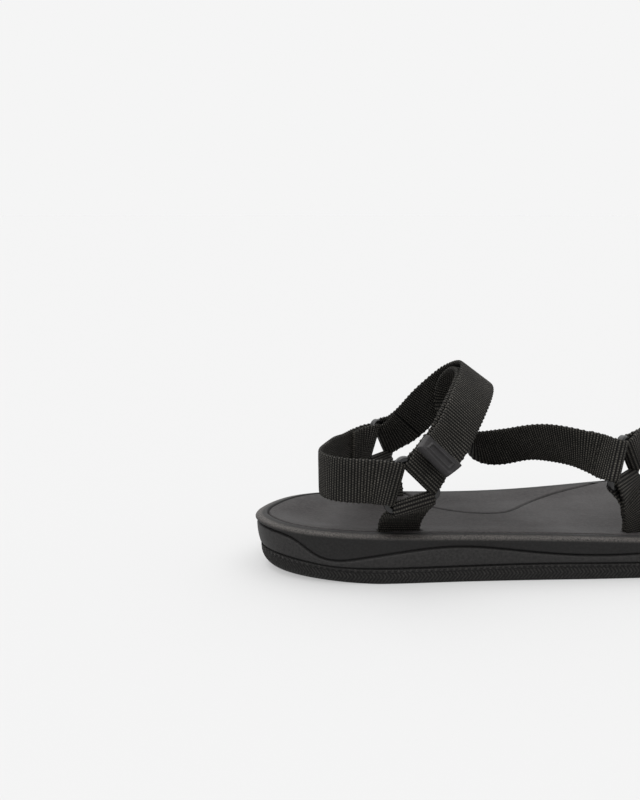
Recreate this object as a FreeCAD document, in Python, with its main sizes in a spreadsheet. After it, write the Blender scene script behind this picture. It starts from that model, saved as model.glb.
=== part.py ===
import FreeCAD, Part
import math
import os

Vector = FreeCAD.Vector

doc = FreeCAD.newDocument("sport_sandal")

# ---------------------------------------------------------------- driving dimensions (mm, degrees)
DIMENSIONS = {
    "sole_length": 257,
    "outsole_height": 7,
    "midsole_waist_height": 13,
    "blank_height": 34,
    "outsole_inset": 4.6,
    "midsole_foot_inset": 3.6,
    "midsole_waist_inset": 0.8,
    "tread_depth": 1.4,
    "tread_width": 2.2,
    "tread_pitch": 13,
    "footbed_inset": 5.2,
    "footbed_thickness": 3,
    "rim_lip": 1,
    "slot_depth": 8,
    "slot_clearance": 0.6,
    "webbing_width": 16.5,
    "webbing_thickness": 1.4,
    "neck_width": 12.4,
    "ring_inner_side": 18.6,
    "ring_bar": 2.6,
    "ring_thickness": 2.8,
    "ring_corner": 3.6,
    "loop_bore": 1.75,
    "heel_loop_bore": 2.05,
    "patch_thickness": 0.8,
    "patch_margin": 1.5,
    "patch_gap": 0.6,
    "tab_length": 7.5,
    "tab_thickness": 3.6,
    "tab_overhang": 1,
    "tab_end_width": 15.8,
    "thread_diameter": 0.6,
    "stitch_length": 1.9,
    "stitch_pitch": 2.6,
}

sheet = doc.addObject("Spreadsheet::Sheet", "dimensions")
for row, (alias, number) in enumerate(DIMENSIONS.items(), start=1):
    sheet.set("A%d" % row, alias)
    sheet.set("B%d" % row, str(number))
    sheet.setAlias("B%d" % row, alias)
doc.recompute()


def size(alias):
    """A driving dimension, read back from the sheet."""
    return float(sheet.get(alias))


# ---------------------------------------------------------------- frame
# +X points to the toe, -Y to the outer (lateral) side of this right-foot sandal, +Z up.
# The origin is the middle of the box round the sandal, on the ground.
# Places along the sandal are written as stations: distances forward of the back of the heel.
def at(station, side, height):
    return Vector(station - size("sole_length") / 2, side, height)


# Edge of the sole seen from above: station and side, from the heel round the lateral side.
SOLE_EDGE = [
    (0, 0), (8, -22), (33, -35), (67, -39.5), (102, -43.5), (139, -48.5), (178, -51),
    (211, -47), (238, -33), (252, -14), (257, 7), (249, 31), (223, 46), (191, 51),
    (159, 45), (125, 35.5), (87, 32.5), (50, 35.5), (22, 30), (6, 14),
]

# Height of the rim of the sole: station and height.
RIM_LINE = [(-12, 23), (60, 20.2), (130, 18), (190, 16), (232, 17.5), (270, 21.5)]


def inset_edge(distance):
    """The sole's edge moved inwards by a distance."""
    moved = []
    count = len(SOLE_EDGE)
    for index, (station, side) in enumerate(SOLE_EDGE):
        before = SOLE_EDGE[index - 1]
        after = SOLE_EDGE[(index + 1) % count]
        run = math.hypot(after[0] - before[0], after[1] - before[1])
        inward_x = -(after[1] - before[1]) / run
        inward_y = (after[0] - before[0]) / run
        moved.append((station + distance * inward_x, side + distance * inward_y))
    return moved


def closed_spline(points):
    curve = Part.BSplineCurve()
    curve.interpolate([Vector(x, y, 0) for x, y in points], PeriodicFlag=True)
    return curve


def origin_plane(body, role):
    return next(plane for plane in body.Origin.OriginFeatures if plane.Role == role)


def edge_sketch(body, name, distance, height_alias=None):
    """A sketch of the sole's edge on the body's own base plane, lifted to a height."""
    sketch = body.newObject("Sketcher::SketchObject", name)
    sketch.AttachmentSupport = [(origin_plane(body, "XY_Plane"), "")]
    sketch.MapMode = "FlatFace"
    if height_alias:
        sketch.setExpression(".AttachmentOffset.Base.z", "dimensions." + height_alias)
    half = size("sole_length") / 2
    sketch.addGeometry(closed_spline([(x - half, y) for x, y in inset_edge(distance)]))
    return sketch


# ---------------------------------------------------------------- sole
def outsole():
    """Rubber outsole: tapered slab with cross grooves cut in its tread."""
    body = doc.addObject("PartDesign::Body", "outsole")
    ground = edge_sketch(body, "ground_edge", size("outsole_inset"))
    top = edge_sketch(body, "top_edge", size("midsole_foot_inset"), "outsole_height")
    loft = body.newObject("PartDesign::AdditiveLoft", "slab")
    loft.Profile = ground
    loft.Sections = [top]
    doc.recompute()
    plain_volume = body.Shape.Volume

    groove = body.newObject("Sketcher::SketchObject", "groove_section")
    groove.AttachmentSupport = [(origin_plane(body, "XZ_Plane"), "")]
    groove.MapMode = "FlatFace"
    first = 22 - size("sole_length") / 2
    half_width = size("tread_width") / 2
    depth = size("tread_depth")
    corners = [(first - half_width, -1), (first + half_width, -1), (first + half_width, depth),
               (first - half_width, depth)]
    for start, end in zip(corners, corners[1:] + corners[:1]):
        groove.addGeometry(Part.LineSegment(Vector(*start, 0), Vector(*end, 0)))
    pocket = body.newObject("PartDesign::Pocket", "tread_groove")
    pocket.Profile = groove
    pocket.Length = 120
    pocket.Midplane = True
    doc.recompute()
    pattern = body.newObject("PartDesign::LinearPattern", "tread_grooves")
    pattern.Originals = [pocket]
    pattern.Direction = (origin_plane(body, "X_Axis"), [""])
    pattern.Occurrences = 17
    pattern.setExpression("Length", "16 * dimensions.tread_pitch")
    body.Tip = pattern
    doc.recompute()
    assert body.Shape.Volume < plain_volume - 100
    return body


def midsole_blank():
    """Foam midsole before its top is shaped: it widens from the outsole up to the rim."""
    body = doc.addObject("PartDesign::Body", "midsole_blank")
    profile = edge_sketch(body, "foot_edge", size("midsole_foot_inset"), "outsole_height")
    waist = edge_sketch(body, "waist_edge", size("midsole_waist_inset"), "midsole_waist_height")
    rim = edge_sketch(body, "rim_edge", 0, "blank_height")
    loft = body.newObject("PartDesign::AdditiveLoft", "sidewalls")
    loft.Profile = profile
    loft.Sections = [waist, rim]
    doc.recompute()
    return body


def rim_band(name, low_drop, high_drop):
    """A slab across the whole sole between two copies of the rim line, each lowered."""
    def line(drop):
        curve = Part.BSplineCurve()
        curve.interpolate([at(station, 0, height - drop) for station, height in RIM_LINE])
        return curve

    low = line(low_drop)
    high = line(high_drop)
    ends = [Part.LineSegment(low.value(low.LastParameter), high.value(high.LastParameter)),
            Part.LineSegment(high.value(high.FirstParameter), low.value(low.FirstParameter))]
    outline = Part.Wire([low.toShape(), ends[0].toShape(), high.toShape(), ends[1].toShape()])
    half_width = 80
    slab = Part.Face(outline).extrude(Vector(0, 2 * half_width, 0))
    band = doc.addObject("Part::Feature", name)
    band.Shape = slab
    band.Placement = FreeCAD.Placement(Vector(0, -half_width, 0), FreeCAD.Rotation())
    return band


def footbed_blank():
    body = doc.addObject("PartDesign::Body", "footbed_blank")
    sketch = edge_sketch(body, "footbed_edge", size("footbed_inset"))
    pad = body.newObject("PartDesign::Pad", "footbed_pad")
    pad.Profile = sketch
    pad.setExpression("Length", "dimensions.blank_height")
    doc.recompute()
    return body


def slot_box(name, foot, yaw):
    """The slot that a strap goes down into, at the edge of the footbed."""
    box = doc.addObject("Part::Box", name)
    box.setExpression("Length", "dimensions.webbing_width + 2 * dimensions.slot_clearance")
    box.setExpression("Width", "2 * dimensions.webbing_thickness + 2 * dimensions.slot_clearance")
    box.setExpression("Height", "2 * dimensions.slot_depth")
    doc.recompute()
    turn = FreeCAD.Rotation(Vector(0, 0, 1), yaw)
    corner = turn.multVec(Vector(box.Length.Value / 2, box.Width.Value / 2, size("slot_depth")))
    box.Placement = FreeCAD.Placement(foot - corner, turn)
    return box


def fuse(name, shapes):
    joined = doc.addObject("Part::MultiFuse", name)
    joined.Shapes = shapes
    return joined


def cut(name, base, tool):
    result = doc.addObject("Part::Cut", name)
    result.Base = base
    result.Tool = tool
    return result


def common(name, base, tool):
    result = doc.addObject("Part::MultiCommon", name)
    result.Shapes = [base, tool]
    return result


# ---------------------------------------------------------------- rings
class Ring:
    """Place of a triangular ring: its centre, the turn of its plane and of its first corner."""

    def __init__(self, name, centre, yaw, corner_angle):
        self.name = name
        self.centre = centre
        self.forward = Vector(math.cos(math.radians(yaw)), math.sin(math.radians(yaw)), 0)
        self.normal = self.forward.cross(Vector(0, 0, 1))
        self.yaw = yaw
        self.corner_angle = corner_angle

    def in_plane(self, angle):
        """The unit direction in the ring's plane at an angle above forward."""
        turn = math.radians(angle)
        return self.forward * math.cos(turn) + Vector(0, 0, math.sin(turn))

    def bar(self, index):
        """Middle of bar 0, 1 or 2, its outward direction and the direction along it."""
        angle = self.corner_angle + 180 + 120 * index
        outward = self.in_plane(angle)
        reach = size("ring_inner_side") / (2 * math.sqrt(3)) + size("ring_bar") / 2
        return self.centre + outward * reach, outward, self.in_plane(angle + 90)

    def body(self):
        """Moulded ring: a rounded triangle with a triangular hole and softened edges."""
        body = doc.addObject("PartDesign::Body", self.name)
        sketch = body.newObject("Sketcher::SketchObject", self.name + "_outline")
        sketch.AttachmentSupport = [(origin_plane(body, "XY_Plane"), "")]
        sketch.MapMode = "FlatFace"
        inner = size("ring_inner_side")
        outer = inner + 2 * math.sqrt(3) * size("ring_bar")
        for side, corner in ((outer, size("ring_corner")), (inner, 0.8)):
            for piece in rounded_triangle(side, corner):
                sketch.addGeometry(piece)
        pad = body.newObject("PartDesign::Pad", self.name + "_pad")
        pad.Profile = sketch
        pad.setExpression("Length", "dimensions.ring_thickness")
        pad.Midplane = True
        doc.recompute()
        soft = body.newObject("PartDesign::Fillet", self.name + "_fillet")
        soft.Base = (pad, ["Face%d" % (number + 1) for number, face in enumerate(pad.Shape.Faces)
                           if abs(face.normalAt(0, 0).z) > 0.9])
        soft.Radius = 0.9
        body.Tip = soft
        turn = FreeCAD.Rotation(self.forward, Vector(0, 0, 1), self.normal, "XYZ")
        turn = turn.multiply(FreeCAD.Rotation(Vector(0, 0, 1), self.corner_angle))
        body.Placement = FreeCAD.Placement(self.centre, turn)
        return body


def rounded_triangle(side, corner):
    """Lines and arcs of an equilateral triangle about the origin, one corner towards +X."""
    tip = side / math.sqrt(3)
    pieces = []
    for index in range(3):
        facing = math.radians(120 * index)
        middle = Vector(math.cos(facing), math.sin(facing), 0) * (tip - 2 * corner)

        def arc_point(offset, centre=middle, facing=facing):
            angle = facing + math.radians(offset)
            return centre + Vector(math.cos(angle), math.sin(angle), 0) * corner

        following = facing + math.radians(120)
        next_middle = Vector(math.cos(following), math.sin(following), 0) * (tip - 2 * corner)
        pieces.append(Part.Arc(arc_point(-60), arc_point(0), arc_point(60)))
        next_start = next_middle + Vector(math.cos(following - math.radians(60)),
                                          math.sin(following - math.radians(60)), 0) * corner
        pieces.append(Part.LineSegment(arc_point(60), next_start))
    return pieces


LATERAL_REAR = Ring("ring_lateral_rear", at(53.3, -40.5, 40), 0, 105)
MEDIAL_REAR = Ring("ring_medial_rear", at(59.6, 36.4, 39.2), 40, 93)
LATERAL_FRONT = Ring("ring_lateral_front", at(140.4, -38.5, 44.1), 36, 98)
BOTTOM, FRONT_TOP, REAR = 0, 1, 2
RINGS = [LATERAL_REAR, MEDIAL_REAR, LATERAL_FRONT]


# ---------------------------------------------------------------- webbing
RULED = False


class Ribbon:
    """A strap's middle line with the direction across it, as smooth curves."""

    def __init__(self, stations):
        self.points = [point for point, across in stations]
        self.parameters = [0.0]
        for start, end in zip(self.points, self.points[1:]):
            self.parameters.append(self.parameters[-1] + start.distanceToPoint(end))
        self.length = self.parameters[-1]
        self.line = Part.BSplineCurve()
        self.line.interpolate(Points=self.points, Parameters=self.parameters)
        self.side_line = Part.BSplineCurve()
        self.side_line.interpolate(
            Points=[point + Vector(across).normalize() * 10 for point, across in stations],
            Parameters=self.parameters)

    def frame(self, distance):
        """Point, direction along, direction across and outward normal at a distance."""
        along = self.line.tangent(distance)[0]
        point = self.line.value(distance)
        across = self.side_line.value(distance) - point
        across = across - along * across.dot(along)
        across.normalize()
        return point, along, across, across.cross(along)

    def place(self, distance, sideways, proud):
        point, along, across, normal = self.frame(distance)
        return point + across * sideways + normal * proud

    def section(self, distance, width, low, high):
        corners = [self.place(distance, sign * width / 2, proud)
                   for sign, proud in ((-1, low), (1, low), (1, high), (-1, high))]
        return Part.makePolygon(corners + corners[:1])

    def solid(self, start, end, profile, spacing=5):
        """A band between two distances; profile gives width and lowest and highest face there."""
        count = max(3, int(math.ceil((end - start) / spacing)) + 1)
        sections = []
        for index in range(count):
            distance = start + (end - start) * index / (count - 1)
            sections.append(self.section(distance, *profile(distance)))
        return Part.makeLoft(sections, True, RULED)


def necked_width(ribbon, neck_at_start, neck_at_end):
    """Full webbing width, drawn in to the neck width where the strap enters a ring."""
    full = size("webbing_width")
    neck = size("neck_width")
    neck_run = 9

    def width_at(distance):
        share = 1.0
        if neck_at_start:
            share = min(share, distance / neck_run)
        if neck_at_end:
            share = min(share, (ribbon.length - distance) / neck_run)
        share = max(0.0, share)
        return neck + (full - neck) * share * share * (3 - 2 * share)

    return width_at


def bar_cylinder(ring, index, radius, length):
    middle, outward, along = ring.bar(index)
    return Part.makeCylinder(radius, length, middle - along * (length / 2), along)


def strap_profile(ribbon, start_bar, end_bar, doubled):
    """Width and faces of a strap that is two layers thick for a length beside each ring."""
    half = size("webbing_thickness") / 2
    width_at = necked_width(ribbon, start_bar, end_bar)

    def profile(distance):
        from_loop = min(distance if start_bar else ribbon.length,
                        ribbon.length - distance if end_bar else ribbon.length)
        low = -3 * half if from_loop < doubled else -half
        return width_at(distance), low, half

    return profile


def strap(name, ribbon, start_bar=None, end_bar=None, bore=None, doubled=12):
    """Webbing along a ribbon, doubled and sewn into a loop where it meets a ring's bar."""
    bore = bore or size("loop_bore")
    profile = strap_profile(ribbon, start_bar is not None, end_bar is not None, doubled)
    bars = [bar for bar in (start_bar, end_bar) if bar]
    shape = ribbon.solid(0, ribbon.length, profile)
    shape = shape.fuse([loop(bar, bore) for bar in bars])
    for ring, index in bars:
        shape = shape.cut(bar_cylinder(ring, index, bore, 2 * size("webbing_width")))
    return webbing_feature(name, largest_solid(shape))


def loop(bar, bore):
    return bar_cylinder(bar[0], bar[1], bore + size("webbing_thickness") * 0.85, size("neck_width"))


def largest_solid(shape):
    return max(shape.removeSplitter().Solids, key=lambda solid: solid.Volume)


def webbing_feature(name, shape):
    feature = doc.addObject("Part::Feature", name)
    feature.Shape = shape
    feature.Placement = FreeCAD.Placement()
    return feature


def stitch_rows(name, rows):
    """Lock stitches: short round-ended threads lying on the webbing, as separate solids."""
    radius = size("thread_diameter") / 2
    threads = []
    for start, end in rows:
        run = end - start
        count = max(1, int(run.Length // size("stitch_pitch")))
        step = run * (1.0 / count)
        direction = Vector(run)
        direction.normalize()
        for index in range(count):
            middle = start + step * (index + 0.5)
            tail = middle - direction * (size("stitch_length") / 2)
            threads.append(Part.makeCylinder(radius, size("stitch_length"), tail, direction))
    return webbing_feature(name, Part.makeCompound(threads))


def cross_row(ribbon, distance, proud, margin=2.2):
    reach = size("webbing_width") / 2 - margin
    return (ribbon.place(distance, -reach, proud), ribbon.place(distance, reach, proud))


def bar_middle(bar):
    return bar[0].bar(bar[1])[0]


def bar_across(bar, sign):
    return bar[0].bar(bar[1])[2] * sign


# ---------------------------------------------------------------- routes of the straps
def footbed_height(station):
    """Height of the footbed's top at a station, read between the points of the rim line."""
    for (near, low), (far, high) in zip(RIM_LINE, RIM_LINE[1:]):
        if station <= far:
            return low + (high - low) * (station - near) / (far - near) - size("rim_lip")
    return RIM_LINE[-1][1]


def slot_stations(station, side, across):
    """A strap's two lowest stations: straight up out of its slot."""
    top = footbed_height(station)
    return [(at(station, side, top - size("slot_depth") + 1), across),
            (at(station, side, top + 2), across)]


LATERAL_HEEL_BAR = (LATERAL_REAR, REAR)
MEDIAL_HEEL_BAR = (MEDIAL_REAR, REAR)
LATERAL_INSTEP_BAR = (LATERAL_REAR, FRONT_TOP)
CLOSURE_BAR = (MEDIAL_REAR, FRONT_TOP)
DIAGONAL_FRONT_BAR = (LATERAL_FRONT, REAR)
TOE_BAR = (LATERAL_FRONT, FRONT_TOP)

HEEL_ROUTE = Ribbon([
    (bar_middle(LATERAL_HEEL_BAR), bar_across(LATERAL_HEEL_BAR, -1)),
    (at(37, -38.5, 42.5), Vector(0.05, 0, 1)),
    (at(27.2, -33.2, 42.6), Vector(0.03, 0.05, 1)),
    (at(23.4, -23.5, 42.4), Vector(0, 0.02, 1)),
    (at(27, -8, 41.9), Vector(-0.03, 0, 1)),
    (at(35.6, 9, 41.6), Vector(-0.05, -0.02, 1)),
    (at(45, 24.6, 40.8), Vector(0.1, 0.06, 1)),
    (bar_middle(MEDIAL_HEEL_BAR), bar_across(MEDIAL_HEEL_BAR, -1)),
])

DIAGONAL_ROUTE = Ribbon([
    (bar_middle(LATERAL_INSTEP_BAR), bar_across(LATERAL_INSTEP_BAR, -1)),
    (at(66.5, -39.5, 55.5), Vector(0.78, 0.1, -0.62)),
    (at(73.5, -33.5, 63.5), Vector(0.8, 0.1, -0.6)),
    (at(81, -23, 70), Vector(0.81, 0.05, -0.58)),
    (at(86.8, -11, 73.6), Vector(0.8, 0, -0.6)),
    (at(89, 1, 73.6), Vector(0.8, 0, -0.6)),
    (at(88.6, 12, 69.2), Vector(0.84, -0.05, -0.54)),
    (at(89.6, 18.8, 61), Vector(0.9, -0.1, -0.4)),
    (at(92.6, 19.6, 52.5), Vector(0.75, 0.25, -0.6)),
    (at(97.5, 15.8, 42.6), Vector(0.3, 0.4, -0.87)),
    (at(104, 8.4, 42.6), Vector(0, 0.48, -0.88)),
    (at(112, -1.5, 46.2), Vector(0.08, 0.55, -0.83)),
    (at(119, -14, 48.8), Vector(0.1, 0.42, -0.9)),
    (at(126.5, -29.4, 49.2), Vector(0.08, 0.18, -0.98)),
    (bar_middle(DIAGONAL_FRONT_BAR), bar_across(DIAGONAL_FRONT_BAR, 1)),
])
OVERLAP_START = 13
OVERLAP_END = 66
PLY_SPACING = 2 * size("patch_thickness") + size("patch_gap") + size("webbing_thickness")


def over_diagonal(distance):
    """A station of the closure strap, lying on the diagonal strap with both patches between."""
    point, along, across, normal = DIAGONAL_ROUTE.frame(distance)
    return point + normal * PLY_SPACING, across * -1


CLOSURE_ROUTE = Ribbon([
    (bar_middle(CLOSURE_BAR), bar_across(CLOSURE_BAR, 1)),
    (at(70.6, 36.4, 47), Vector(-0.5, -0.2, 0.84)),
    (at(80.5, 27, 60), Vector(-0.56, -0.12, 0.82)),
    over_diagonal(71),
    over_diagonal(58),
    over_diagonal(47),
    over_diagonal(35),
    over_diagonal(24),
    over_diagonal(14),
    (at(59.6, -48.6, 51.1), Vector(-0.77, -0.06, 0.64)),
])
TAB_START = CLOSURE_ROUTE.length - size("tab_length")

TOE_SLOT_ACROSS = Vector(0.98, -0.17, 0)
TOE_ROUTE = Ribbon([
    (bar_middle(TOE_BAR), bar_across(TOE_BAR, -1)),
    (at(153.4, -31, 48.6), Vector(0.62, 0.18, -0.76)),
    (at(169, -18, 47.4), Vector(0.62, 0, -0.78)),
    (at(186, -1, 43.4), Vector(0.66, -0.06, -0.74)),
    (at(200, 17, 37), Vector(0.76, -0.12, -0.62)),
    (at(209.5, 30.5, 27), Vector(0.88, -0.16, -0.4)),
] + slot_stations(213, 36.5, TOE_SLOT_ACROSS)[::-1])

LATERAL_REAR_ANCHOR = Ribbon(slot_stations(52.8, -29, Vector(1, 0, 0)) + [
    (at(54, -35.5, 28.6), Vector(1, 0, 0.1)),
    (bar_middle((LATERAL_REAR, BOTTOM)), bar_across((LATERAL_REAR, BOTTOM), 1)),
])
MEDIAL_REAR_ANCHOR = Ribbon(slot_stations(60.5, 25.5, Vector(-1, 0, 0)) + [
    (at(60.3, 30.2, 27), Vector(-0.96, -0.25, 0)),
    (bar_middle((MEDIAL_REAR, BOTTOM)), bar_across((MEDIAL_REAR, BOTTOM), -1)),
])
FRONT_ANCHOR_YAW = 20
FRONT_ACROSS = Vector(math.cos(math.radians(FRONT_ANCHOR_YAW)),
                      math.sin(math.radians(FRONT_ANCHOR_YAW)), 0)
LATERAL_FRONT_ANCHOR = Ribbon(slot_stations(150.5, -35.7, FRONT_ACROSS) + [
    (at(147.5, -38, 29.5), FRONT_ACROSS + Vector(0, 0, 0.1)),
    (bar_middle((LATERAL_FRONT, BOTTOM)), bar_across((LATERAL_FRONT, BOTTOM), 1)),
])

# ---------------------------------------------------------------- build: sole
nodes = [outsole()]

footbed_body = common("footbed_layer", footbed_blank(),
                      rim_band("footbed_band", size("rim_lip") + size("footbed_thickness"),
                               size("rim_lip")))
footbed_room = common("footbed_room", footbed_blank(), rim_band(
    "footbed_room_band", size("rim_lip") + size("footbed_thickness"), -20))
slots = fuse("strap_slots", [
    slot_box("slot_lateral_rear", at(52.8, -29, footbed_height(52.8)), 0),
    slot_box("slot_medial_rear", at(60.5, 25.5, footbed_height(60.5)), 0),
    slot_box("slot_lateral_front", at(150.5, -35.7, footbed_height(150.5)), FRONT_ANCHOR_YAW),
    slot_box("slot_medial_toe", at(213, 36.5, footbed_height(213)), -10),
])
midsole_body = common("midsole_shaped", midsole_blank(), rim_band("midsole_band", 40, 0))
midsole = cut("midsole", cut("midsole_with_recess", midsole_body, footbed_room), slots)
footbed = cut("footbed", footbed_body, slots)
doc.recompute()
nodes += [midsole, footbed]

# ---------------------------------------------------------------- build: rings and straps
nodes += [ring.body() for ring in RINGS]

HEEL_BORE = size("heel_loop_bore")
nodes += [
    strap("anchor_lateral_rear", LATERAL_REAR_ANCHOR, end_bar=(LATERAL_REAR, BOTTOM)),
    strap("anchor_medial_rear", MEDIAL_REAR_ANCHOR, end_bar=(MEDIAL_REAR, BOTTOM)),
    strap("anchor_lateral_front", LATERAL_FRONT_ANCHOR, end_bar=(LATERAL_FRONT, BOTTOM)),
    strap("heel_strap", HEEL_ROUTE, LATERAL_HEEL_BAR, MEDIAL_HEEL_BAR, HEEL_BORE),
    strap("diagonal_strap", DIAGONAL_ROUTE, LATERAL_INSTEP_BAR, DIAGONAL_FRONT_BAR, doubled=11),
    strap("toe_strap", TOE_ROUTE, TOE_BAR),
]

HALF_WEB = size("webbing_thickness") / 2


def closure_strap():
    """The strap that opens: looped on the medial ring, it stops short under the pull tab."""
    ring, index = CLOSURE_BAR
    bore = size("loop_bore")
    profile = strap_profile(CLOSURE_ROUTE, True, False, 12)
    shape = CLOSURE_ROUTE.solid(0, TAB_START - 0.5, profile)
    shape = shape.fuse(loop(CLOSURE_BAR, bore)).cut(bar_cylinder(ring, index, bore, 40))
    return webbing_feature("closure_strap", largest_solid(shape))


def pull_tab():
    """Rubber tab moulded on the strap's end, with a raised oblong frame to grip."""
    half = size("tab_thickness") / 2
    root_width = size("webbing_width") + 2 * size("tab_overhang")
    end = CLOSURE_ROUTE.length

    def width_at(distance):
        share = (distance - TAB_START) / size("tab_length")
        return root_width + (size("tab_end_width") - root_width) * share

    shape = CLOSURE_ROUTE.solid(TAB_START, end, lambda distance: (width_at(distance), -half, half))
    grip = CLOSURE_ROUTE.solid(TAB_START + 1.8, end - 1.6,
                               lambda distance: (width_at(distance) - 5, half - 0.2, half + 0.5))
    hollow = CLOSURE_ROUTE.solid(TAB_START + 2.5, end - 2.3,
                                 lambda distance: (width_at(distance) - 6.4, half - 0.4, half + 1))
    shape = shape.fuse(grip).cut(hollow)
    return webbing_feature("pull_tab", largest_solid(shape))


def patch(name, ribbon, start, end, side):
    """Hook or loop tape on one face of a strap."""
    width = size("webbing_width") - 2 * size("patch_margin")
    glue = 0.05
    low = HALF_WEB + glue if side > 0 else -HALF_WEB - size("patch_thickness") - glue
    high = low + size("patch_thickness")
    shape = ribbon.solid(start, end, lambda distance: (width, low, high))
    return webbing_feature(name, shape)


nodes += [
    closure_strap(),
    pull_tab(),
    patch("loop_patch", DIAGONAL_ROUTE, OVERLAP_START + 3, OVERLAP_END, 1),
    patch("hook_patch", CLOSURE_ROUTE, TAB_START - 42, TAB_START - 1, -1),
]

# ---------------------------------------------------------------- build: stitching
OUTER_THREAD = HALF_WEB + size("thread_diameter") / 2
HEEL_END = HEEL_ROUTE.length
DIAGONAL_END = DIAGONAL_ROUTE.length
nodes += [
    stitch_rows("heel_strap_stitching", [
        cross_row(HEEL_ROUTE, distance, OUTER_THREAD)
        for distance in (10, 12.5, HEEL_END - 12.5, HEEL_END - 10)]),
    stitch_rows("closure_strap_stitching", [
        cross_row(CLOSURE_ROUTE, distance, OUTER_THREAD) for distance in (9.5, 12)]),
    stitch_rows("diagonal_strap_stitching", [
        cross_row(DIAGONAL_ROUTE, distance, OUTER_THREAD)
        for distance in (DIAGONAL_END - 10.5, DIAGONAL_END - 8)]),
    stitch_rows("toe_strap_stitching", [
        cross_row(TOE_ROUTE, distance, OUTER_THREAD) for distance in (8, 10.5)]),
    stitch_rows("anchor_stitching", [
        cross_row(route, route.length - 6, OUTER_THREAD + 0.05, 3.2)
        for route in (LATERAL_REAR_ANCHOR, MEDIAL_REAR_ANCHOR, LATERAL_FRONT_ANCHOR)]),
]

# ---------------------------------------------------------------- checks and files
doc.recompute()
for item in doc.Objects:
    assert not {"Invalid", "Error"} & set(item.State), item.Label
os.makedirs("parts", exist_ok=True)
for node in nodes:
    shape = node.Shape
    assert not shape.isNull() and shape.isValid() and shape.Volume > 0, node.Label
    box = shape.optimalBoundingBox()
    print("%-26s solids %3d volume %9.1f  x %.1f..%.1f y %.1f..%.1f z %.1f..%.1f" % (
        node.Label, len(shape.Solids), shape.Volume, box.XMin, box.XMax, box.YMin, box.YMax,
        box.ZMin, box.ZMax))
    shape.exportStep("parts/%s.step" % node.Label)
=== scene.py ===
import math

import bpy
import numpy as np
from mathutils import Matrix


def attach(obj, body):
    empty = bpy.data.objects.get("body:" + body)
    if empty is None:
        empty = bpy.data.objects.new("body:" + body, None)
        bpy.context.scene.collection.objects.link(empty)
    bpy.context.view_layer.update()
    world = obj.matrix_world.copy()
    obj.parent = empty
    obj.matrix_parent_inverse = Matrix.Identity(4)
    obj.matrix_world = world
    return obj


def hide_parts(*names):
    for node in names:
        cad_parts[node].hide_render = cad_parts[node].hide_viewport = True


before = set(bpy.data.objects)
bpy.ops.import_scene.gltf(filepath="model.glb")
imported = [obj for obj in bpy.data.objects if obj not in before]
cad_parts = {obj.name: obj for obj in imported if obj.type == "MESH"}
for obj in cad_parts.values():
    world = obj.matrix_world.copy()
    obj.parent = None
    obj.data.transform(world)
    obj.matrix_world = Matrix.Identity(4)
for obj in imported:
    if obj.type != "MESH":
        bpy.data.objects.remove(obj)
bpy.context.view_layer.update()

# ---------------------------------------------------------------- sizes and places
# Places are in millimetres, as stations forward of the back of the heel, sides (medial positive)
# and heights over the ground. Meshes are made in metres in the frame of the CAD model.
MM = 0.001
SOLE_LENGTH = 257
WEB_WIDTH = 16.5
WEB_THICKNESS = 1.4
RING_INNER_SIDE = 18.6
RING_BAR = 2.6
RIB_PITCH = 1.15
TAB_LENGTH = 7.5
TAB_END_WIDTH = 15.8
FOOTBED_INSET = 5.2
TAB_THICKNESS = 3.6
TAB_SKEW = 0.24

SOLE_EDGE = [
    (0, 0), (8, -22), (33, -35), (67, -39.5), (102, -43.5), (139, -48.5), (178, -51),
    (211, -47), (238, -33), (252, -14), (257, 7), (249, 31), (223, 46), (191, 51),
    (159, 45), (125, 35.5), (87, 32.5), (50, 35.5), (22, 30), (6, 14),
]
RIM_LINE = [(-12, 23), (60, 20.2), (130, 18), (190, 16), (232, 17.5), (270, 21.5)]
SIDE_WAVE = [
    (-6, 18.9), (4, 18.7), (9, 17.9), (14, 15.2), (19, 11.8), (26, 9.9), (35, 10.7), (53, 13.4),
    (75, 14.9), (99, 12.6), (128, 10.4), (152, 11), (185, 12.6), (215, 12.9), (240, 11.6), (262, 11),
]
ARCH_WAVE = [
    (54, 30.5), (62, 31), (68, 29.4), (71, 24), (73.5, 16), (78, 8.5), (85, 2), (94, -2.8),
    (104, -3.4), (115, 4.6), (127, 15.8), (144, 27.5), (158, 35.5), (170, 42.5),
]
BAND_TOP = [
    (-8, 9.9), (4, 9.1), (10, 8.6), (27, 6.9), (48, 6.2), (80, 6.4), (109, 6.8), (145, 6.5),
    (200, 6.5), (235, 7), (265, 9.5),
]


def at(station, side, height):
    return np.array([station - SOLE_LENGTH / 2, side, height], float)


def unit(vector):
    vector = np.asarray(vector, float)
    return vector / np.linalg.norm(vector, axis=-1, keepdims=True)


def smooth(share):
    share = np.clip(share, 0, 1)
    return share * share * (3 - 2 * share)


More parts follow.
